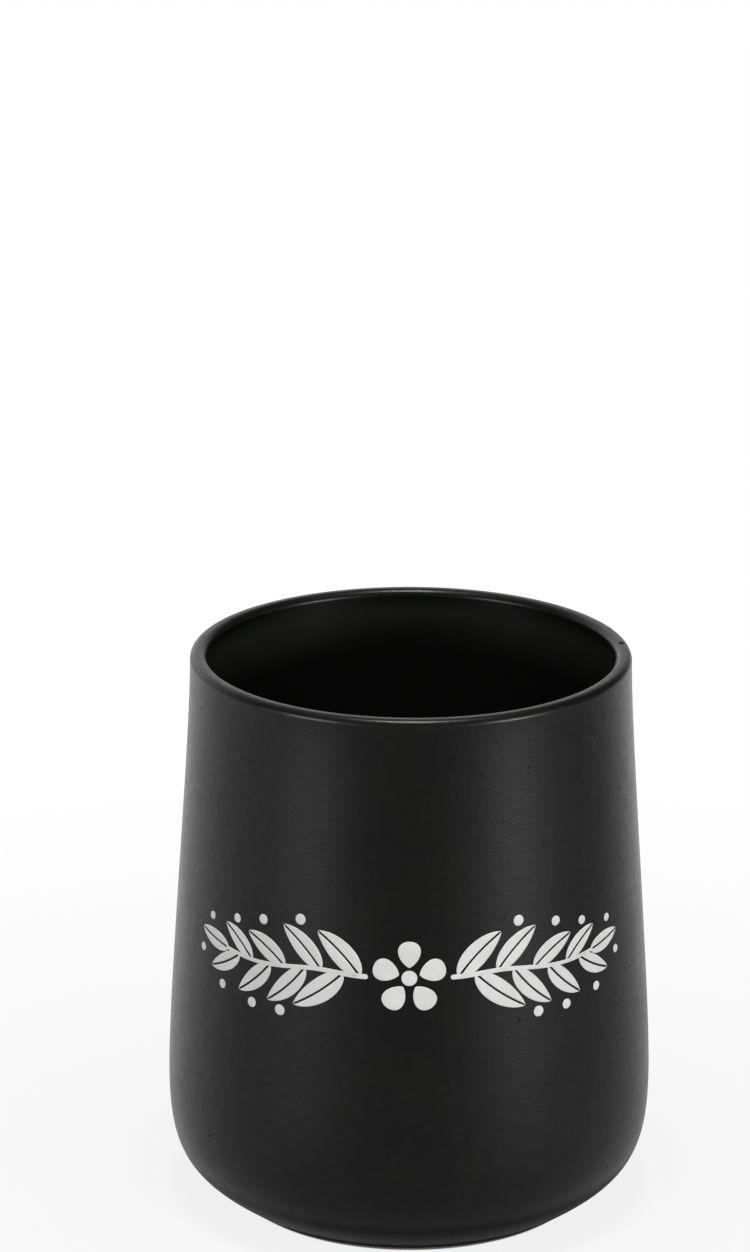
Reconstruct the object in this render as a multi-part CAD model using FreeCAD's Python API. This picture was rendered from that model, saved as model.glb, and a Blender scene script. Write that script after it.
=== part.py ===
# Utensil crock: a stoneware pot turned in one piece, standing on a soft ring set into its foot.
# Millimetres, +Z up. The pot's axis is Z, and the ring rests on the table at Z = 0.
import FreeCAD
import Part
import os

from FreeCAD import Vector
from math import cos, radians, sin

# Outside of the pot
height = 178.0            # table to the top of the rim
rim_diameter = 137.0      # outside of the wall just under the rim
belly_diameter = 152.0    # widest part of the wall
belly_height = 40.0       # table to the widest part
foot_diameter = 110.0     # outside of the turned foot
foot_height = 1.2         # how far the foot stands out below the heel
heel_step = 2.0           # how far the heel's lower edge overhangs the foot
heel_angle = 35.0         # slope of the heel where it meets the foot, from level

# Reach of the easy curve at each place where the outside has a set direction
rim_reach = 25.0          # upright below the rim
belly_rise = 26.0         # upright above the widest part
belly_drop = 26.0         # upright below the widest part
heel_reach = 17.0         # along the slope above the foot

# Wall, floor and rim
wall_thickness = 5.2      # level, from the rim to the widest part
floor_thickness = 6.5     # under the inside floor, in the middle
cove_width = 21.0         # level, from the widest part of the inner wall to the flat floor
cove_rise = 22.0          # reach of the inside curve below the widest part
cove_run = 16.0           # reach of the inside curve beyond the flat floor
rim_outer_round = 2.2     # rounding of the rim's outer edge
rim_inner_round = 2.2     # rounding of the rim's inner edge

# Foot
foot_width = 8.0          # across the turned foot, level
foot_chamfer = 0.5        # bevel of the foot's two lower edges
hollow_depth = 2.0        # hollow under the pot, up from the foot's face
hollow_slope = 1.2        # how far the hollow's side leans in, from the foot to its roof

# Soft ring in the foot
ring_width = 3.0          # across the ring, level
ring_height = 1.7         # thickness of the ring, upright
ring_proud = 0.5          # how far the ring stands out below the foot
ring_chamfer = 0.4        # bevel of the ring's two lower edges
ring_clearance = 0.15     # gap between the ring and each side of its groove

# Largest share of the rim's thickness, and of the foot beside its groove, that an edge finish may take
OUTER_ROUND_SHARE = 0.45
INNER_ROUND_SHARE = 0.45
CHAMFER_SHARE = 0.5

# Levels, radii and edge finishes that follow from the sizes above
foot_face = ring_proud
heel_level = foot_face + foot_height
hollow_level = foot_face + hollow_depth
floor_level = hollow_level + floor_thickness
rim_radius = rim_diameter / 2
foot_radius = foot_diameter / 2
foot_inner_radius = foot_radius - foot_width
ring_radius = foot_radius - foot_width / 2
groove_half = ring_width / 2 + ring_clearance
outer_round = min(rim_outer_round, OUTER_ROUND_SHARE * wall_thickness)
inner_round = min(rim_inner_round, INNER_ROUND_SHARE * wall_thickness)
foot_bevel = min(foot_chamfer, CHAMFER_SHARE * (foot_width / 2 - groove_half))


def at(radius, level):
    """A point of a turned outline: its distance from the axis and its level."""
    return Vector(radius, 0, level)


def line(start, end):
    """A straight edge."""
    return Part.LineSegment(start, end).toShape()


def polyline(*points):
    """Straight edges from each point to the next."""
    return [line(start, end) for start, end in zip(points, points[1:])]


def easy_curve(*poles):
    """A smooth edge that leaves its first pole towards the second and ends along the last two."""
    curve = Part.BezierCurve()
    curve.setPoles(list(poles))
    return curve.toShape()


def rounding(start, corner, end):
    """The quarter arc that rounds a square corner, from start on one side to end on the other."""
    centre = start + end - corner
    radius = (start - centre).Length
    middle = centre + (corner - centre).normalize() * radius
    return Part.Arc(start, middle, end).toShape()


def turned(outline):
    """The solid that a closed outline sweeps about the axis."""
    section = Part.Face(Part.Wire(outline))
    return section.revolve(Vector(0, 0, 0), Vector(0, 0, 1), 360)


def outer_wall():
    """Outside from the rim to the foot: upright at the rim and at the belly, sloping at the heel."""
    rim = at(rim_radius, height - outer_round)
    belly = at(belly_diameter / 2, belly_height)
    heel = at(foot_radius + heel_step, heel_level)
    slope = at(cos(radians(heel_angle)), sin(radians(heel_angle)))
    wall = easy_curve(rim, rim - at(0, rim_reach), belly + at(0, belly_rise), belly)
    heel_curve = easy_curve(belly, belly - at(0, belly_drop), heel + slope * heel_reach, heel)
    return [wall, heel_curve]


def underside():
    """From the heel's lower edge over the foot and its groove to the axis, in the pot's hollow."""
    groove_roof = foot_face + ring_height - ring_proud
    return polyline(at(foot_radius + heel_step, heel_level),
                    at(foot_radius, heel_level),
                    at(foot_radius, foot_face + foot_bevel),
                    at(foot_radius - foot_bevel, foot_face),
                    at(ring_radius + groove_half, foot_face),
                    at(ring_radius + groove_half, groove_roof),
                    at(ring_radius - groove_half, groove_roof),
                    at(ring_radius - groove_half, foot_face),
                    at(foot_inner_radius + foot_bevel, foot_face),
                    at(foot_inner_radius, foot_face + foot_bevel),
                    at(foot_inner_radius - hollow_slope, hollow_level),
                    at(0, hollow_level))


def inner_wall():
    """From the axis over the inside floor, round its cove and up the wall to the rim's inner edge."""
    belly = at(belly_diameter / 2 - wall_thickness, belly_height)
    floor_edge = at(belly.x - cove_width, floor_level)
    rim = at(rim_radius - wall_thickness, height - inner_round)
    floor = polyline(at(0, hollow_level), at(0, floor_level), floor_edge)
    cove = easy_curve(floor_edge, floor_edge + at(cove_run, 0), belly - at(0, cove_rise), belly)
    wall = easy_curve(belly, belly + at(0, belly_rise), rim - at(0, rim_reach), rim)
    return floor + [cove, wall]


def rim_top():
    """Across the rim: its inner rounding, the narrow flat on top and its outer rounding."""
    inner_edge = at(rim_radius - wall_thickness, height)
    outer_edge = at(rim_radius, height)
    flat_start = inner_edge + at(inner_round, 0)
    flat_end = outer_edge - at(outer_round, 0)
    return [rounding(inner_edge - at(0, inner_round), inner_edge, flat_start),
            line(flat_start, flat_end),
            rounding(flat_end, outer_edge, outer_edge - at(0, outer_round))]


def crock_body():
    """The glazed pot, fired in one piece, with the groove for its soft ring."""
    return turned(outer_wall() + underside() + inner_wall() + rim_top())


def non_slip_ring():
    """The soft ring, pushed up against the roof of its groove, with its lower edges bevelled."""
    outer = ring_radius + ring_width / 2
    inner = ring_radius - ring_width / 2
    start = at(inner, ring_height)
    return turned(polyline(start,
                           at(outer, ring_height),
                           at(outer, ring_chamfer),
                           at(outer - ring_chamfer, 0),
                           at(inner + ring_chamfer, 0),
                           at(inner, ring_chamfer),
                           start))


os.makedirs("parts", exist_ok=True)
for node, shape in (("crock_body", crock_body()), ("non_slip_ring", non_slip_ring())):
    shape.exportStep("parts/" + node + ".step")
    print(node, "valid:", shape.isValid(), "volume, cubic mm:", round(shape.Volume, 1))
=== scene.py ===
import math

import bpy
import numpy as np
from mathutils import Matrix, Vector


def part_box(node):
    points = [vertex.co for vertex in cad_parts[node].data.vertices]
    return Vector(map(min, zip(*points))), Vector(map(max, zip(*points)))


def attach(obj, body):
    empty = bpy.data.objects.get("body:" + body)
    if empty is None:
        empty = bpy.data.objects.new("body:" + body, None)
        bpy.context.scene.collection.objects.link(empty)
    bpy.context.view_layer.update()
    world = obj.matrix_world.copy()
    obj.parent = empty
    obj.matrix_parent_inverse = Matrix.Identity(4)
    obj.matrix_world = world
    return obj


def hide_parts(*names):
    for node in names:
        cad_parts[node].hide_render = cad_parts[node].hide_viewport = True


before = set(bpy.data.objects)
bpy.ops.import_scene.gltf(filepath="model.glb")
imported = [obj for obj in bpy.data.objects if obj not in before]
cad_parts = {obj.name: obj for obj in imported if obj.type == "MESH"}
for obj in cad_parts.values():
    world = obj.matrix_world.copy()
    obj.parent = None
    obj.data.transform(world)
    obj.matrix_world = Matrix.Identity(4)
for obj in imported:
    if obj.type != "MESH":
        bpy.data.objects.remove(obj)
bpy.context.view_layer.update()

# Pot
# The body of the crock is stoneware, turned in one piece: a rounded rim, a wall that swells to a low
# belly, a round heel and a narrow foot. It is dipped in satin black glaze and fired once, and the foot
# is wiped clean first, so its face stays bare clay.
mm = 0.001
pot_low, pot_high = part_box("crock_body")
ring_low, ring_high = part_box("non_slip_ring")

rim_radius = 68.5 * mm
rim_outer_round = 2.2 * mm
rim_inner_round = 2.2 * mm
wall_thickness = 5.2 * mm
belly_level = 40.0 * mm
heel_step = 2.0 * mm
heel_slope = math.radians(35.0)
foot_radius = 55.0 * mm
foot_width = 8.0 * mm
foot_height = 1.2 * mm
foot_bevel = 0.5 * mm
hollow_depth = 2.0 * mm
hollow_slope = 1.2 * mm
floor_thickness = 6.5 * mm
cove_width = 21.0 * mm
ring_clearance = 0.15 * mm
edge_melt = 0.25 * mm

# Levels and radii that follow from these sizes and from the frame
rim_level = pot_high.z
belly_radius = pot_high.x
foot_face = pot_low.z
heel_level = foot_face + foot_height
hollow_level = foot_face + hollow_depth
floor_level = hollow_level + floor_thickness
foot_inner = foot_radius - foot_width
ring_middle = foot_radius - foot_width / 2
groove_half = ring_high.x - ring_middle + ring_clearance
groove_roof = ring_high.z

# Reach of the smooth curves where the wall has a set direction
rim_reach = 25.0 * mm
belly_reach = 26.0 * mm
heel_reach = 17.0 * mm
cove_rise = 22.0 * mm
cove_run = 16.0 * mm


def eased_shares(count):
    """Shares from 0 to 1 that follow half a cosine wave, so that they crowd at both ends."""
    return 0.5 - 0.5 * np.cos(np.linspace(0, math.pi, count))


def smooth_curve(start, leaving, arriving, end, count):
    """Points of a cubic curve that leaves start towards one handle and comes to end from the other.

    With t from 0 to 1 the four points are weighted (1-t)^3, 3t(1-t)^2, 3t^2(1-t) and t^3. The values of t
    crowd at both ends, where the curve meets its neighbours.
    """
    t = eased_shares(count)[:, None]
    handles = [np.asarray(p, float) for p in (start, leaving, arriving, end)]
    weights = [(1 - t) ** 3, 3 * t * (1 - t) ** 2, 3 * t ** 2 * (1 - t), t ** 3]
    return sum(w * p for w, p in zip(weights, handles))


def quarter_round(centre, radius, start_angle, count):
    """Points of a quarter circle about centre, turning left from start_angle."""
    angle = start_angle + np.linspace(0, math.pi / 2, count)
    return np.asarray(centre) + radius * np.stack([np.cos(angle), np.sin(angle)], axis=1)


def softened(corners, cut, count):
    """A broken line with each inner corner melted by the glaze, as one run of points.

    Each corner is replaced by the parabola between the two points that lie cut away from it on its two
    sides, or two fifths of the shorter side if that is less. A guard point just outside each end of the
    parabola keeps the flats beside it flat in the shading.
    """
    corners = np.asarray(corners, float)
    side = np.diff(corners, axis=0)
    length = np.linalg.norm(side, axis=1, keepdims=True)
    side = side / length
    corner = corners[1:-1, None]
    room = np.minimum(np.minimum(length[:-1], length[1:]) * 0.4, cut)[:, None]
    before = corner - room * side[:-1, None]
    after = corner + room * side[1:, None]
    t = np.linspace(0, 1, count)[None, :, None]
    melted = (1 - t) ** 2 * before + 2 * t * (1 - t) * corner + t ** 2 * after
    guard_before = corner - 1.2 * room * side[:-1, None]
    guard_after = corner + 1.2 * room * side[1:, None]
    return np.concatenate([guard_before, melted, guard_after], axis=1).reshape(-1, 2)


rim_outside = np.array([rim_radius, rim_level - rim_outer_round])
rim_inside = np.array([rim_radius - wall_thickness, rim_level - rim_inner_round])
belly_outside = np.array([belly_radius, belly_level])
belly_inside = belly_outside - [wall_thickness, 0]
heel_edge = np.array([foot_radius + heel_step, heel_level])
heel_handle = heel_edge + heel_reach * np.array([math.cos(heel_slope), math.sin(heel_slope)])
floor_edge = np.array([belly_inside[0] - cove_width, floor_level])
upward = np.array([0, 1])
outward = np.array([1, 0])


def outer_wall(count):
    """The wall from the belly up to the rim: upright at both ends, as (radius, level) points."""
    return smooth_curve(belly_outside, belly_outside + belly_reach * upward,
                        rim_outside - rim_reach * upward, rim_outside, count)


underside = softened([(0, hollow_level),
                      (foot_inner - hollow_slope, hollow_level),
                      (foot_inner, foot_face + foot_bevel),
                      (foot_inner + foot_bevel, foot_face),
                      (ring_middle - groove_half, foot_face),
                      (ring_middle - groove_half, groove_roof),
                      (ring_middle + groove_half, groove_roof),
                      (ring_middle + groove_half, foot_face),
                      (foot_radius - foot_bevel, foot_face),
                      (foot_radius, foot_face + foot_bevel),
                      (foot_radius, heel_level),
                      heel_edge,
                      heel_handle], cut=edge_melt, count=5)
heel = smooth_curve(heel_edge, heel_handle, belly_outside - belly_reach * upward, belly_outside, count=36)
rim_out_centre = rim_outside - rim_outer_round * outward
rim_in_centre = rim_inside + rim_inner_round * outward
rim_out = quarter_round(rim_out_centre, rim_outer_round, 0.0, count=18)
rim_top = np.linspace(rim_out[-1], rim_in_centre + rim_inner_round * upward, 6)
rim_in = quarter_round(rim_in_centre, rim_inner_round, math.pi / 2, count=16)
inner_wall = smooth_curve(rim_inside, rim_inside - rim_reach * upward,
                          belly_inside + belly_reach * upward, belly_inside, count=32)
cove = smooth_curve(belly_inside, belly_inside - cove_rise * upward,
                    floor_edge + cove_run * outward, floor_edge, count=24)

# The inside floor in steps, from just inside its edge to just short of its pole
floor_shares = np.linspace(0.97, 0.08, 6)[:, None]
floor_steps = floor_shares * [floor_edge[0], 0] + [0, floor_level]

# The heel starts past the guard point of its melted edge
past_melt = np.linalg.norm(heel - heel_edge, axis=1) > 1.4 * edge_melt
profile = np.concatenate([underside, heel[past_melt], outer_wall(50)[1:], rim_out[1:], rim_top[1:],
                          rim_in[1:], inner_wall[1:], cove[1:], floor_steps])

# Two pits where the glaze has crawled back from the top of the rim, on the right: the angle and the radius
# at which each lies, how far it reaches and how deep it is.
rim_pits = ((math.radians(7.0), 66.2 * mm, 0.75 * mm, 0.5 * mm),
            (math.radians(20.5), 66.9 * mm, 0.5 * mm, 0.3 * mm))
pit_angle, pit_radius, pit_reach, pit_depth = np.transpose(rim_pits)
pitted_stretch = (math.radians(4.0), math.radians(23.0))

# Slow swells of the wall: how many to a turn, their height, their phase, and the rise that drifts them round
# by a radian. They fade in above the foot, and the rim dips and rises in a wave of its own.
wall_swells = ((2, 0.09 * mm, 0.6, 90 * mm), (3, 0.05 * mm, -1.1, 40 * mm), (5, 0.03 * mm, 2.0, -25 * mm))
swell_start = 4 * mm
swell_fade = 16 * mm
rim_wave = 0.1 * mm
rim_wave_count = 2
rim_wave_phase = 1.3
rim_wave_reach = 14 * mm

# Where the finish changes: the glaze is thin on edges up to this radius, the foot's face is bare, and the
# gloss just above it was wiped off with it. Below the rim the inside takes a paler colour, painted light for
# the shaded inside.
thin_edge_radius = 1.6 * mm
bare_height = 0.2 * mm
bare_fade = 0.1 * mm
wiped_level = 5.0 * mm
wiped_fade = 1.4 * mm
inside_fade = 6 * mm


def hand_finish(angle, level):
    """How far the wall stands out from a true round, left by turning by hand and by the kiln.

    It is the sum of waves, height sin(count angle + phase + level / drift), and fades out at the foot.
    """
    swell = sum(height * np.sin(count * angle + phase + level / drift)
                for count, height, phase, drift in wall_swells)
    return swell * np.clip((level - swell_start) / swell_fade, 0, 1)


def round_axis(radius, angle, level):
    """Points (r cos a, r sin a, z) from arrays of radii, angles and levels."""
    return np.stack(np.broadcast_arrays(radius * np.cos(angle), radius * np.sin(angle), level), axis=-1)


def grid_faces(rings, around, joined=False):
    """Quads of a grid: every ring closes on itself, and joined also ties the last ring to the first."""
    ring = np.arange(rings if joined else rings - 1)[:, None]
    step = np.arange(around)[None, :]
    upper = (ring + 1) % rings
    beside = (step + 1) % around
    corners = [ring * around + step, ring * around + beside, upper * around + beside, upper * around + step]
    return np.stack(np.broadcast_arrays(*corners), axis=-1).reshape(-1, 4)


def fan_faces(pole, ring_start, around, last):
    """Triangles from a pole point to a ring, turned for the first or the last ring of a surface."""
    here = ring_start + np.arange(around)
    beside = ring_start + (np.arange(around) + 1) % around
    centre = np.full(around, pole)
    return np.stack([here, beside, centre] if last else [beside, here, centre], axis=-1)


def smooth_piece(name, points, *faces):
    """A smooth-shaded mesh object at the origin, from arrays of points, quads and triangles."""
    mesh = bpy.data.meshes.new(name)
    mesh.from_pydata(points.reshape(-1, 3), [], [face for group in faces for face in group.tolist()])
    mesh.shade_smooth()
    piece = bpy.data.objects.new(name, mesh)
    bpy.context.scene.collection.objects.link(piece)
    return piece


def point_values(piece, name, values):
    """Stores one number for each point of a piece, for its material to read by name."""
    attribute = piece.data.attributes.new(name, "FLOAT", "POINT")
    attribute.data.foreach_set("value", np.asarray(values, np.float32).ravel())


def pit_shares(points):
    """How far each point lies inside each pit: 1 in its middle, falling as exp(-(distance / reach)^4)."""
    away = np.linalg.norm(points[..., None, :] - round_axis(pit_radius, pit_angle, rim_level), axis=-1)
    return np.exp(-(away / pit_reach) ** 4)


def turned_pot():
    """The profile carried once round the axis, with its swells and its pits, and its two poles closed.

    A point is (r cos a, r sin a, z) for radius r and level z of the profile and angle a. The angles take
    fine steps past the pits and wider ones over the rest of the turn.
    """
    fine_count, wide_count = 88, 256
    fine = np.linspace(*pitted_stretch, fine_count, endpoint=False)
    wide = np.linspace(pitted_stretch[1], pitted_stretch[0] + 2 * math.pi, wide_count, endpoint=False)
    angle = np.concatenate([fine, wide])[None, :]
    around = angle.size
    true_radius, true_level = profile[:, :1], profile[:, 1:]
    radius = true_radius + hand_finish(angle, true_level)
    near_rim = np.clip((true_level - rim_level + rim_wave_reach) / rim_wave_reach, 0, 1)
    level = true_level + rim_wave * np.sin(rim_wave_count * angle + rim_wave_phase) * near_rim ** 2
    pits = pit_shares(round_axis(radius, angle, level))
    points = round_axis(radius, angle, level - pits @ pit_depth).reshape(-1, 3)

    poles = np.array([[0, 0, hollow_level], [0, 0, floor_level]])
    rings = len(profile)
    piece = smooth_piece("pot", np.concatenate([points, poles]), grid_faces(rings, around),
                         fan_faces(rings * around, 0, around, last=False),
                         fan_faces(rings * around + 1, (rings - 1) * around, around, last=True))

    side = np.diff(profile, axis=0, prepend=profile[:1] - mm * outward, append=profile[-1:] - mm * outward)
    heading = np.unwrap(np.arctan2(side[:, 1], side[:, 0]))
    length = np.linalg.norm(side, axis=1)
    bend = 2 * np.diff(heading) / (length[:-1] + length[1:])
    edge = np.clip(bend * thin_edge_radius, 0, 1)
    bare = np.clip((foot_face + bare_height - profile[:, 1]) / bare_fade, 0, 1)
    wiped = np.clip((wiped_level - profile[:, 1]) / wiped_fade, 0, 1)
    # The inside mask places the painted light of the inside colour, fading in below the rim.
    past_rim = np.arange(rings) > rings - len(inner_wall) - len(cove) - len(floor_steps)
    inside = np.clip((rim_level - profile[:, 1] - rim_inner_round) / inside_fade, 0, 1) * past_rim
    for name, values in (("edge", edge), ("bare", bare), ("wiped", wiped), ("inside", inside)):
        point_values(piece, name, np.append(np.repeat(values, around), values[[0, -1]]))
    point_values(piece, "pit", np.append(pits.max(axis=-1).ravel(), [0, 0]))
    return piece


def add_node(tree, kind, values=None, **settings):
    """A new shader node with its settings and its unlinked input values."""
    node = tree.nodes.new(kind)
    for name, value in settings.items():
        setattr(node, name, value)
    for name, value in (values or {}).items():
        node.inputs[name].default_value = value
    return node


def blend_colour(tree, share, first, second):
    """A colour mix: share is a socket, and first and second are sockets or plain colours.

    The mix node keeps its colours in inputs 6 and 7 and in output 2.
    """
    mix = add_node(tree, "ShaderNodeMix", data_type="RGBA")
    tree.links.new(share, mix.inputs["Factor"])
    for socket, colour in ((mix.inputs[6], first), (mix.inputs[7], second)):
        if isinstance(colour, bpy.types.NodeSocket):
            tree.links.new(colour, socket)
        else:
            socket.default_value = (*colour, 1)
    return mix.outputs[2]


def spread(tree, value, low, high, to_low, to_high):
    """A value from the span low to high moved to the span to_low to to_high, and held inside it."""
    node = add_node(tree, "ShaderNodeMapRange", {"From Min": low, "From Max": high,
                                                 "To Min": to_low, "To Max": to_high})
    tree.links.new(value, node.inputs["Value"])
    return node.outputs["Result"]


def arithmetic(tree, operation, first, second):
    """One sum of two inputs, each a socket or a plain number."""
    node = add_node(tree, "ShaderNodeMath", operation=operation)
    for socket, value in zip(node.inputs, (first, second)):
        if isinstance(value, bpy.types.NodeSocket):
            tree.links.new(value, socket)
        else:
            socket.default_value = value
    return node.outputs["Value"]


def fired_grain_group():
    """Fine grain, slow mottling and scattered round specks, for any surface that has been through a kiln
    or a mould. The specks are the round middles of a few of the cells of a scattered pattern."""
    group = bpy.data.node_groups.new("fired_grain", "ShaderNodeTree")
    face = group.interface
    face.new_socket("Vector", in_out="INPUT", socket_type="NodeSocketVector")
    for name in ("Grain Scale", "Mottle Scale", "Speck Scale", "Speck Rarity"):
        face.new_socket(name, in_out="INPUT", socket_type="NodeSocketFloat")
    for name in ("Grain", "Mottle", "Specks"):
        face.new_socket(name, in_out="OUTPUT", socket_type="NodeSocketFloat")
    start = add_node(group, "NodeGroupInput")
    end = add_node(group, "NodeGroupOutput")

    grain = add_node(group, "ShaderNodeTexNoise", {"Detail": 3.0, "Roughness": 0.6})
    mottle = add_node(group, "ShaderNodeTexNoise", {"Detail": 4.0, "Roughness": 0.55, "Distortion": 0.3})
    cells = add_node(group, "ShaderNodeTexVoronoi", {"Randomness": 1.0})
    pick = add_node(group, "ShaderNodeSeparateColor")
    for texture, scale in ((grain, "Grain Scale"), (mottle, "Mottle Scale"), (cells, "Speck Scale")):
        group.links.new(start.outputs["Vector"], texture.inputs["Vector"])
        group.links.new(start.outputs[scale], texture.inputs["Scale"])
    group.links.new(cells.outputs["Color"], pick.inputs["Color"])
    chosen = arithmetic(group, "GREATER_THAN", pick.outputs["Red"], start.outputs["Speck Rarity"])
    middle = spread(group, cells.outputs["Distance"], 0.10, 0.22, 1.0, 0.0)
    group.links.new(grain.outputs["Fac"], end.inputs["Grain"])
    group.links.new(mottle.outputs["Fac"], end.inputs["Mottle"])
    group.links.new(arithmetic(group, "MULTIPLY", chosen, middle), end.inputs["Specks"])
    return group


fired_grain = fired_grain_group()


def object_place(tree):
    """Object coordinates, on which every pattern lies, as a socket."""
    return add_node(tree, "ShaderNodeTexCoord").outputs["Object"]


def with_grain(tree, grain_scale, mottle_scale, speck_scale, speck_rarity):
    """The shared grain placed in a material on Object coordinates, with scales in repeats to a metre."""
    scales = {"Grain Scale": grain_scale, "Mottle Scale": mottle_scale,
              "Speck Scale": speck_scale, "Speck Rarity": speck_rarity}
    grain = add_node(tree, "ShaderNodeGroup", scales, node_tree=fired_grain)
    tree.links.new(object_place(tree), grain.inputs["Vector"])
    return grain.outputs


def add_bump(tree, height, strength, depth, normal):
    """A bump of a height socket, linked to one of a shader's normal sockets."""
    bump = add_node(tree, "ShaderNodeBump", {"Strength": strength, "Distance": depth})
    tree.links.new(height, bump.inputs["Height"])
    tree.links.new(bump.outputs["Normal"], normal)


def stored_value(tree, name):
    """The number that a piece stores under this name, as a socket."""
    return add_node(tree, "ShaderNodeAttribute", attribute_name=name).outputs["Fac"]


def new_material(name, **constants):
    """A material with one Principled shader, and the constants set on that shader's own sockets."""
    material = bpy.data.materials.new(name)
    material.use_nodes = True
    shader = material.node_tree.nodes["Principled BSDF"]
    for socket, value in constants.items():
        shader.inputs[socket.replace("_", " ")].default_value = value
    return material, material.node_tree, shader


def black_glaze():
    """Satin black glaze: nearly black, a little paler where it thins over an edge, with faint level
    turning lines, fine grain and a few pinholes, under a gloss that is uneven like fine peel. The gloss
    ends above the foot, the foot's face is bare clay, and the pits are dull. Inside the crock the colour is
    painted light: a paler colour that brightens the shaded inside."""
    deep, pale, thin = (0.0003, 0.0009, 0.0002), (0.0008, 0.0019, 0.0006), (0.012, 0.012, 0.011)
    # The colour for the inside is painted light, paler than the glaze to brighten the shaded inside; clay is
    # the bare foot.
    painted_inside_light, clay = (0.019, 0.021, 0.018), (0.16, 0.135, 0.11)
    material, tree, shader = new_material("black_glaze", Specular_IOR_Level=0.15, Coat_Roughness=0.25,
                                          Coat_IOR=1.25)
    grain = with_grain(tree, grain_scale=1100.0, mottle_scale=55.0, speck_scale=420.0, speck_rarity=0.95)
    marks = ("edge", "bare", "wiped", "pit", "inside")
    edge, bare, wiped, pit, inside = (stored_value(tree, mark) for mark in marks)

    body = blend_colour(tree, spread(tree, grain["Mottle"], 0.35, 0.65, 0, 1), deep, pale)
    # Painted light: below the rim the inside takes the paler painted colour.
    body = blend_colour(tree, inside, body, painted_inside_light)
    broken = blend_colour(tree, spread(tree, edge, 0.2, 1.0, 0, 0.6), body, thin)
    tree.links.new(blend_colour(tree, bare, broken, clay), shader.inputs["Base Color"])

    satin = spread(tree, grain["Mottle"], 0.3, 0.7, 0.395, 0.465)
    satin = arithmetic(tree, "ADD", satin, spread(tree, grain["Grain"], 0.3, 0.7, -0.04, 0.04))
    dull = arithmetic(tree, "MAXIMUM", arithmetic(tree, "MAXIMUM", wiped, pit), grain["Specks"])
    satin = arithmetic(tree, "ADD", satin, arithmetic(tree, "MULTIPLY", dull, 0.4))
    tree.links.new(satin, shader.inputs["Roughness"])

    def level_noise(flatness, scale):
        """Noise whose spots are flatness times as long as they are high, with scale repeats to a metre."""
        squeezed = add_node(tree, "ShaderNodeMapping", {"Scale": (1.0, 1.0, flatness)})
        noise = add_node(tree, "ShaderNodeTexNoise", {"Scale": scale, "Detail": 3.0, "Roughness": 0.55})
        tree.links.new(object_place(tree), squeezed.inputs["Vector"])
        tree.links.new(squeezed.outputs["Vector"], noise.inputs["Vector"])
        return noise.outputs["Fac"]

    relief = arithmetic(tree, "MULTIPLY", level_noise(9.0, 45.0), 0.5)
    relief = arithmetic(tree, "ADD", relief, grain["Grain"])
    relief = arithmetic(tree, "SUBTRACT", relief, arithmetic(tree, "MULTIPLY", grain["Specks"], 0.9))
    peel = level_noise(1.3, 300.0)
    gloss = spread(tree, peel, 0.3, 0.7, 0.7, 1.0)
    gloss = arithmetic(tree, "MULTIPLY", gloss, spread(tree, dull, 0.0, 1.0, 1.0, 0.1))
    tree.links.new(gloss, shader.inputs["Coat Weight"])
    relief_depth = 0.15 * mm
    add_bump(tree, relief, 0.45, relief_depth, shader.inputs["Normal"])
    add_bump(tree, peel, 0.5, relief_depth, shader.inputs["Coat Normal"])
    return material


pot = turned_pot()
pot.data.materials.append(black_glaze())
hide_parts("crock_body")
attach(pot, "root")

# Soft ring
# A moulded ring of black silicone, pushed up into the groove of the foot. It carries the pot half a
# millimetre clear of the table, and its lower edges are bevelled so that it goes in and lies flat.
ring_outer = ring_high.x
ring_inner = 2 * ring_middle - ring_outer
ring_bevel = 0.4 * mm
ring_edge_melt = 0.2 * mm
lip_wave = 0.02 * mm
lip_wave_count = 7


def moulded_ring():
    """The ring's section, with softened corners, carried round the axis and joined to itself.

    Its lip is a little uneven, as soft rubber is: the level of a point is raised by a wave round the
    ring, the more the lower the point lies.
    """
    around = 240
    low, high = ring_low.z, ring_high.z
    corners = [(ring_inner + ring_bevel, low),
               (ring_outer - ring_bevel, low),
               (ring_outer, low + ring_bevel),
               (ring_outer, high),
               (ring_inner, high),
               (ring_inner, low + ring_bevel)]
    section = softened([corners[-1]] + corners + [corners[0]], cut=ring_edge_melt, count=5)
    angle = np.linspace(0, 2 * math.pi, around, endpoint=False)[None, :]
    lower = (high - section[:, 1:]) / (high - low)
    level = section[:, 1:] + lip_wave * lower * (1 + np.sin(lip_wave_count * angle))
    points = round_axis(section[:, :1], angle, level)
    return smooth_piece("soft_ring", points, grid_faces(len(section), around, joined=True))


def soft_rubber():
    """Matte black silicone with a powdery bloom of dust in its grain."""
    fresh, bloom, lint = (0.010, 0.010, 0.010), (0.020, 0.020, 0.019), (0.07, 0.068, 0.064)
    material, tree, shader = new_material("soft_rubber", Specular_IOR_Level=0.25)
    grain = with_grain(tree, grain_scale=2600.0, mottle_scale=160.0, speck_scale=900.0, speck_rarity=0.9)
    body = blend_colour(tree, spread(tree, grain["Mottle"], 0.35, 0.65, 0, 1), fresh, bloom)
    tree.links.new(blend_colour(tree, grain["Specks"], body, lint), shader.inputs["Base Color"])
    tree.links.new(spread(tree, grain["Mottle"], 0.3, 0.7, 0.72, 0.86), shader.inputs["Roughness"])
    add_bump(tree, grain["Grain"], 0.3, 0.08 * mm, shader.inputs["Normal"])
    return material


soft_ring = moulded_ring()
soft_ring.data.materials.append(soft_rubber())
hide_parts("non_slip_ring")
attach(soft_ring, "root")

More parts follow.
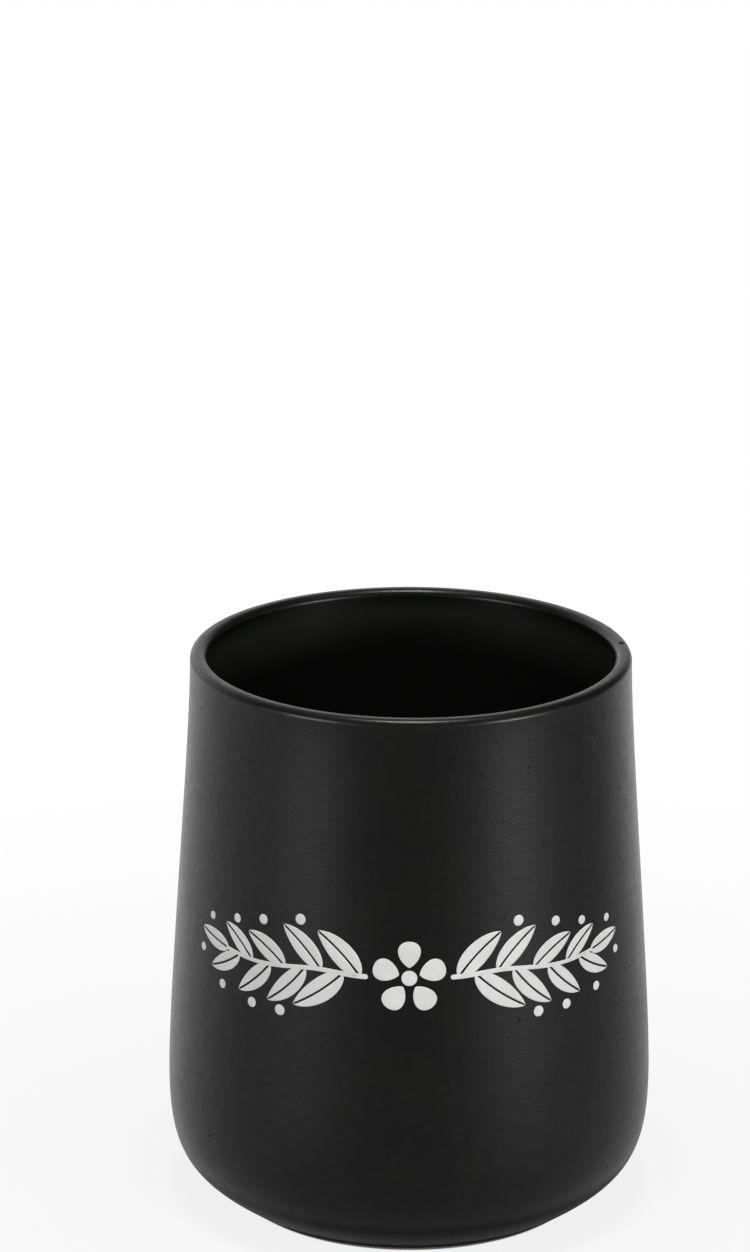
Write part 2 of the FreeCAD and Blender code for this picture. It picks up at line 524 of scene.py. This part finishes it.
# Leaf garland
# A garland of leaves round a small blossom in off-white enamel, screen printed on the front of the glazed
# wall and fired on. Two leafy stems run out from the blossom, every leaf is two strokes either side of a
# fine vein, and a dot stands between each two leaf tips.
garland_level = 97.5 * mm
stem_start = 12.6 * mm
stem_end = 64.0 * mm
stem_half_width = 0.8 * mm
stem_taper = 0.7
stem_swing = 1.0 * mm
leaf_pairs = 4
leaf_pitch = 12.4 * mm
first_leaf = 15.2 * mm
lower_leaf_lag = 5.4 * mm
leaf_bend = 0.35
vein_half_width = 0.32 * mm
last_leaf_length = 14.5 * mm
last_leaf_overlap = 1.0 * mm
last_leaf_bend = 0.15
dot_stand = 2.6 * mm
petal_count = 5
petal_length = 8.2 * mm
petal_half_width = 3.5 * mm
blossom_heart = 2.4 * mm
blossom_gap = 0.9 * mm
enamel_thickness = 0.12 * mm
enamel_edge = 0.35 * mm

# Sizes that change evenly along the stem, at the blossom and at the far end
leaf_length = (19.5 * mm, 15.0 * mm)
leaf_half_width = (3.7 * mm, 2.9 * mm)
leaf_splay = (math.radians(52.0), math.radians(44.0))
dot_radius = (1.7 * mm, 1.3 * mm)

# How unevenly the leaves are drawn
uneven_splay = math.radians(1.2)
uneven_size = 0.018
uneven_bend = 0.03
random = np.random.default_rng(11)

# The wall that the strokes lie on, and the shares of a stroke's length at which it has points
wall_curve = outer_wall(400)
front = -math.pi / 2
print_radius = np.interp(garland_level, wall_curve[:, 1], wall_curve[:, 0])
stroke_shares = eased_shares(30)[None, :]


def stem_line(along):
    """The middle line of the right-hand stem: one slow wave, eased in over its first third."""
    share = (along - stem_start) / (stem_end - stem_start)
    swing = stem_swing * np.sin(2 * math.pi * share) * np.clip(share * 3, 0, 1)
    return np.stack([along, garland_level + swing], axis=-1)


def stem_heading(along):
    """The direction of the stem at each place along it."""
    ahead = stem_line(along + 0.5 * mm) - stem_line(along - 0.5 * mm)
    return np.arctan2(ahead[:, 1], ahead[:, 0])


def bent_lines(root, heading, bend, length):
    """Lines of a set length that start at root and turn evenly by bend from their first heading.

    The places are the running sum of short steps, each along the mean heading of its two ends.
    """
    turning = heading[:, None] + bend[:, None] * stroke_shares
    mean = (turning[:, 1:] + turning[:, :-1]) / 2
    step = np.diff(stroke_shares, axis=1) * length[:, None]
    run = np.cumsum(np.stack([np.cos(mean) * step, np.sin(mean) * step], axis=-1), axis=1)
    lines = root[:, None] + np.concatenate([np.zeros((len(root), 1, 2)), run], axis=1)
    return lines, np.stack([-np.sin(turning), np.cos(turning)], axis=-1)


leaf_side = np.append(np.tile([1.0, -1.0], leaf_pairs), 0.0)


def leaf_lines():
    """Middle lines, directions across them and widest half widths of the right-hand leaves.

    Leaves start above and below the stem by turns, leave it at their splay and bend back towards it. They
    grow smaller along the stem, and one more leaf ends it. Each is drawn a little unevenly.
    """
    share = np.append(np.repeat(np.linspace(0, 1, leaf_pairs), 2), 1.0)
    start = first_leaf + share * leaf_pitch * (leaf_pairs - 1) + np.where(leaf_side < 0, lower_leaf_lag, 0)
    start[-1] = stem_end - last_leaf_overlap
    length = np.interp(share, [0, 1], leaf_length)
    length[-1] = last_leaf_length
    splay = np.interp(share, [0, 1], leaf_splay) * leaf_side
    bend = np.where(leaf_side == 0, last_leaf_bend, -leaf_bend * leaf_side)
    width = np.interp(share, [0, 1], leaf_half_width)
    uneven = random.normal(0, 1, (4, len(share)))
    splay = splay + uneven_splay * uneven[0]
    length = length * (1 + uneven_size * uneven[1])
    width = width * (1 + uneven_size * uneven[2])
    bend = bend + uneven_bend * uneven[3]
    return *bent_lines(stem_line(start), stem_heading(start) + splay, bend, length), width


leaf_middle, leaf_across, leaf_width = leaf_lines()


def leaf_strokes():
    """The right-hand leaves as strokes, one on each side of a vein.

    A leaf's half width is u^0.6 (1-u)^0.8 of its length share u, scaled to its widest. Each stroke fills
    one side, from the vein to the outline.
    """
    outline = stroke_shares ** 0.6 * (1 - stroke_shares) ** 0.8
    half = leaf_width[:, None] * outline / outline.max()
    vein = np.minimum(vein_half_width, half * 0.5)
    offset = leaf_across * ((half + vein) / 2)[..., None]
    lines = np.concatenate([leaf_middle + offset, leaf_middle - offset])
    return lines, np.concatenate([(half - vein) / 2] * 2)


def dot_strokes(centres, radii):
    """Round dots as strokes: a level line across each, with the half width of a circle."""
    u = 2 * stroke_shares - 1
    radii = np.asarray(radii)[:, None]
    lines = centres[:, None] + np.stack([u * radii, 0 * u * radii], axis=-1)
    return lines, np.sqrt(np.maximum(1 - u ** 2, 0)) * radii


def tip_dots():
    """The right-hand dots: one stands off the middle of the line between each two leaf tips of a side."""
    centres = []
    for side in (1.0, -1.0):
        tips = leaf_middle[(leaf_side == side) | (leaf_side == 0)][:, -1]
        gap = np.diff(tips, axis=0)
        out = side * np.stack([-gap[:, 1], gap[:, 0]], axis=-1) / np.linalg.norm(gap, axis=1, keepdims=True)
        centres.append((tips[1:] + tips[:-1]) / 2 + dot_stand * out)
    radii = np.tile(np.linspace(*dot_radius, leaf_pairs), 2)
    return dot_strokes(np.concatenate(centres), radii)


def stem_strokes():
    """The right-hand stem as one stroke, thinner towards its end, with rounded tips."""
    along = stem_start + (stem_end - stem_start) * eased_shares(120)
    tip = np.minimum(np.minimum(along - along[0], along[-1] - along), stem_half_width)
    rounded = np.sqrt(np.maximum(tip * (2 * stem_half_width - tip), 0))
    thinner = np.interp(along, along[[0, -1]], [1.0, stem_taper])
    return stem_line(along)[None], (rounded * thinner)[None]


def blossom_strokes():
    """The blossom: round petals that stand evenly round a dot, with their widest part outwards.

    A petal's half width is u^0.75 (1-u)^0.45 of its length share u, scaled to its widest.
    """
    angle = math.pi / 2 + np.arange(petal_count) * 2 * math.pi / petal_count
    out = np.stack([np.cos(angle), np.sin(angle)], axis=-1)
    middle = np.array([0, garland_level])
    root = middle + out * (blossom_heart + blossom_gap)
    lines = bent_lines(root, angle, np.zeros(petal_count), np.full(petal_count, petal_length))[0]
    outline = stroke_shares ** 0.75 * (1 - stroke_shares) ** 0.45
    return lines, np.repeat(petal_half_width * outline / outline.max(), petal_count, axis=0)


def mirrored(lines, halves):
    """The strokes and their mirror image on the left, drawn backwards so that they face outwards too."""
    left = lines[:, ::-1] * [-1, 1]
    return np.concatenate([lines, left]), np.concatenate([halves, halves[:, ::-1]])


def enamel_strokes(lines, halves):
    """Points and faces of closed strokes that lie on the wall, one for each middle line.

    A section of a stroke is a loop: across the top from edge to edge at the enamel's thickness, with
    round shoulders, and back under the glaze. It is carried along the middle line and scaled by the half
    width. A flat point (along, level) goes to angle front + along / print radius and to the radius of the
    wall at that level plus its height in the section. The two ends of a stroke are poles.
    """
    strokes, steps = halves.shape
    across = np.array([1.0, 0.97, 0.88, 0.7, 0.25, -0.25, -0.7, -0.88, -0.97, -1.0, -0.6, 0.6])
    proud = np.array([0.0, 0.55, 0.9, 1.0, 1.0, 1.0, 1.0, 0.9, 0.55, 0.0, -1.3, -1.3])
    heading = np.gradient(lines, axis=1)
    heading = heading / np.maximum(np.linalg.norm(heading, axis=-1, keepdims=True), 1e-9)
    sideways = np.stack([-heading[..., 1], heading[..., 0]], axis=-1)
    flat = lines[:, :, None] + sideways[:, :, None] * (halves[..., None] * across)[..., None]
    height = proud * np.minimum(halves[..., None] / enamel_edge, 1) * enamel_thickness
    along, level = flat[..., 0], flat[..., 1]
    angle = front + along / print_radius
    radius = np.interp(level, wall_curve[:, 1], wall_curve[:, 0]) + hand_finish(angle, level) + height
    points = round_axis(radius, angle, level)

    loop = len(across)
    rings = points[:, 1:-1].reshape(strokes, -1, 3)
    poles = points[:, [0, -1]].mean(axis=2)
    per_stroke = (steps - 2) * loop + 2
    solid = np.concatenate([rings, poles], axis=1)
    offset = (np.arange(strokes) * per_stroke)[:, None, None]
    quads = grid_faces(steps - 2, loop)[None] + offset
    first = fan_faces(per_stroke - 2, 0, loop, last=False)[None] + offset
    final = fan_faces(per_stroke - 1, (steps - 3) * loop, loop, last=True)[None] + offset
    return solid.reshape(-1, 3), quads.reshape(-1, 4), np.concatenate([first, final]).reshape(-1, 3)


def printed_garland():
    """All the strokes of the print as one piece: leaves, dots and stems on both sides, and the blossom."""
    heart = dot_strokes(np.array([[0, garland_level]]), [blossom_heart])
    groups = [mirrored(*leaf_strokes()), mirrored(*tip_dots()), mirrored(*stem_strokes()),
              blossom_strokes(), heart]
    points, quads, triangles, count = [], [], [], 0
    for lines, halves in groups:
        group_points, group_quads, group_triangles = enamel_strokes(lines, halves)
        points.append(group_points)
        quads.append(group_quads + count)
        triangles.append(group_triangles + count)
        count += len(group_points)
    return smooth_piece("leaf_garland", np.concatenate(points), np.concatenate(quads),
                        np.concatenate(triangles))


def white_enamel():
    """Off-white enamel: slightly uneven in the firing, with a few pinholes where the black shows."""
    full, lean, pinhole = (0.71, 0.71, 0.705), (0.64, 0.64, 0.635), (0.10, 0.10, 0.10)
    material, tree, shader = new_material("white_enamel", Specular_IOR_Level=0.25)
    grain = with_grain(tree, grain_scale=1800.0, mottle_scale=130.0, speck_scale=700.0, speck_rarity=0.965)
    body = blend_colour(tree, spread(tree, grain["Mottle"], 0.3, 0.7, 0, 1), full, lean)
    pitted = arithmetic(tree, "MULTIPLY", grain["Specks"], 0.5)
    tree.links.new(blend_colour(tree, pitted, body, pinhole), shader.inputs["Base Color"])
    tree.links.new(spread(tree, grain["Mottle"], 0.3, 0.7, 0.46, 0.56), shader.inputs["Roughness"])
    add_bump(tree, grain["Grain"], 0.25, 0.05 * mm, shader.inputs["Normal"])
    return material


garland = printed_garland()
garland.data.materials.append(white_enamel())
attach(garland, "root")

# Studio
# The crock stands on a wide pale sheet in front of a white backdrop, with a low soft light on each side
# in front and a small one overhead. The room behind the camera is dark. None of it is part of the crock.
sheet_radius = 40.0
sheet_colour = (0.6, 0.6, 0.6, 1)
room_light = 0.03

# The sheet is paper under the foot, most of the way to white beside it, and plain white from some way off
paper_margin = 0.7 * mm
white_beside_foot = 0.85
plain_white_radius = 0.4

# Where white starts in the gloss along the way to the backdrop, where it is full, and how much that is
backdrop_turn = math.radians(25.0)
sheet_in_gloss = (-0.07, 0.215, 0.57)
room_in_gloss = (0.45, 1.0, 1.0)

# Side lights: the name of each, its angle from the front, its width and its power
side_lights = (("right_light", math.radians(52.8), 0.79, 40.4),
               ("left_light", math.radians(-50.6), 0.92, 27.6))
side_light_distance = 2.5
side_light_level = 0.32
side_light_height = 0.6
overhead_place = (0.0, -0.22, 1.70)
overhead_size = 0.4
overhead_power = 18.3


def shown_white(tree, reflected):
    """The share of plain white that a ray sees: all of it for the eye and through glass, and the
    reflected share, a socket, in the gloss of the crock."""
    path = add_node(tree, "ShaderNodeLightPath")
    in_gloss = arithmetic(tree, "MULTIPLY", path.outputs["Is Glossy Ray"], reflected)
    seen = arithmetic(tree, "MAXIMUM", path.outputs["Is Camera Ray"], in_gloss)
    return arithmetic(tree, "MAXIMUM", seen, path.outputs["Is Transmission Ray"])


def towards_backdrop(tree, vector, start, end, back_share):
    """A share that grows from none at start to back_share at end, along the way to the backdrop."""
    onward = (-math.sin(backdrop_turn), math.cos(backdrop_turn), 0)
    along = add_node(tree, "ShaderNodeVectorMath", {1: onward}, operation="DOT_PRODUCT")
    tree.links.new(vector, along.inputs[0])
    return spread(tree, along.outputs["Value"], start, end, 0.0, back_share)


def pale_sheet():
    """A flat disc as rings round the middle, each wider than the last, with its middle closed."""
    around, rings, first_radius = 64, 24, 0.05
    radius = np.geomspace(first_radius, sheet_radius, rings)[:, None]
    angle = np.linspace(0, 2 * math.pi, around, endpoint=False)[None, :]
    points = np.concatenate([round_axis(radius, angle, 0.0).reshape(-1, 3), np.zeros((1, 3))])
    return smooth_piece("floor", points, grid_faces(rings, around)[:, ::-1],
                        fan_faces(rings * around, 0, around, last=True))


def sheet_material():
    """Matte pale paper under the crock that turns to plain white for the eye further out."""
    material = bpy.data.materials.new("pale_paper")
    material.use_nodes = True
    tree = material.node_tree
    tree.nodes.remove(tree.nodes["Principled BSDF"])
    paper = add_node(tree, "ShaderNodeBsdfDiffuse", {"Color": sheet_colour})
    white = add_node(tree, "ShaderNodeEmission", {"Strength": 1.0})
    both = add_node(tree, "ShaderNodeMixShader")
    place = object_place(tree)
    reach = add_node(tree, "ShaderNodeVectorMath", operation="LENGTH")
    tree.links.new(place, reach.inputs[0])
    away = reach.outputs["Value"]
    near = spread(tree, away, foot_radius - paper_margin, foot_radius, 0.0, white_beside_foot)
    far = spread(tree, away, foot_radius, plain_white_radius, 0.0, 1.0 - white_beside_foot)
    whitened = arithmetic(tree, "ADD", near, far)
    shown = shown_white(tree, towards_backdrop(tree, place, *sheet_in_gloss))
    tree.links.new(arithmetic(tree, "MULTIPLY", shown, whitened), both.inputs["Fac"])
    tree.links.new(paper.outputs["BSDF"], both.inputs[1])
    tree.links.new(white.outputs["Emission"], both.inputs[2])
    tree.links.new(both.outputs["Shader"], tree.nodes["Material Output"].inputs["Surface"])
    return material


def white_room():
    """A world that is plain white to the eye, and in reflections white behind the crock and dark in front.
    It lights the crock only a little."""
    world = bpy.data.worlds.new("white_room")
    world.use_nodes = True
    tree = world.node_tree
    seen = tree.nodes["Background"]
    seen.inputs["Color"].default_value = (1, 1, 1, 1)
    soft = add_node(tree, "ShaderNodeBackground", {"Color": (1, 1, 1, 1), "Strength": room_light})
    both = add_node(tree, "ShaderNodeMixShader")
    heading = add_node(tree, "ShaderNodeTexCoord").outputs["Generated"]
    shown = shown_white(tree, towards_backdrop(tree, heading, *room_in_gloss))
    tree.links.new(shown, both.inputs["Fac"])
    tree.links.new(soft.outputs["Background"], both.inputs[1])
    tree.links.new(seen.outputs["Background"], both.inputs[2])
    tree.links.new(both.outputs["Shader"], tree.nodes["World Output"].inputs["Surface"])
    return world


def soft_light(name, place, aim, width, height, power):
    """A soft box at a place, turned to a point, of a width, a height and a power in watts."""
    light = bpy.data.lights.new(name, "AREA")
    light.shape = "RECTANGLE"
    light.size = width
    light.size_y = height
    light.energy = power
    lamp = bpy.data.objects.new(name, light)
    lamp.location = place
    lamp.rotation_euler = (Vector(aim) - Vector(place)).to_track_quat("-Z", "Y").to_euler()
    lamp.visible_camera = False
    bpy.context.scene.collection.objects.link(lamp)


floor = pale_sheet()
floor.data.materials.append(sheet_material())
bpy.context.scene.world = white_room()
pot_middle = (0, 0, rim_level / 2)
for name, turn, width, power in side_lights:
    place = (side_light_distance * math.sin(turn), -side_light_distance * math.cos(turn), side_light_level)
    soft_light(name, place, pot_middle, width, side_light_height, power)
soft_light("overhead_light", overhead_place, pot_middle, overhead_size, overhead_size, overhead_power)

# Camera
# A long lens from in front and above, as in the photograph, with the crock low in the frame.
# The crock's centre lands on a set pixel of the frame, which gives the camera's last small turns.
frame_width, frame_height = 750, 1252
sensor = 36.0
focal_pixels = 5586.9
aim_level = 91.2 * mm
aim_pixel = (411.0, 912.5)
camera_distance = 1.7617
camera_elevation = math.radians(20.66)
camera_roll = math.radians(0.27)

camera_data = bpy.data.cameras.new("camera")
camera_data.sensor_width = sensor
camera_data.lens = sensor * focal_pixels / frame_height
camera_data.clip_start = 0.01
camera_data.clip_end = 200.0
camera = bpy.data.objects.new("camera", camera_data)
aim = Vector((0, 0, aim_level))
back = Vector((0, -math.cos(camera_elevation), math.sin(camera_elevation)))
eye = aim + camera_distance * back
right_of_middle = (aim_pixel[0] - frame_width / 2) / focal_pixels
below_middle = (aim_pixel[1] - frame_height / 2) / focal_pixels
raise_angle = math.atan2(below_middle, math.hypot(1, right_of_middle))
turn_angle = math.atan(right_of_middle)
facing = (-back).to_track_quat("-Z", "Y").to_matrix()
facing = facing @ Matrix.Rotation(raise_angle, 3, "X") @ Matrix.Rotation(turn_angle, 3, "Y")
facing = facing @ Matrix.Rotation(camera_roll, 3, "Z")
camera.matrix_world = Matrix.Translation(eye) @ facing.to_4x4()
bpy.context.scene.collection.objects.link(camera)
bpy.context.scene.camera = camera
bpy.context.scene.view_settings.view_transform = "Standard"
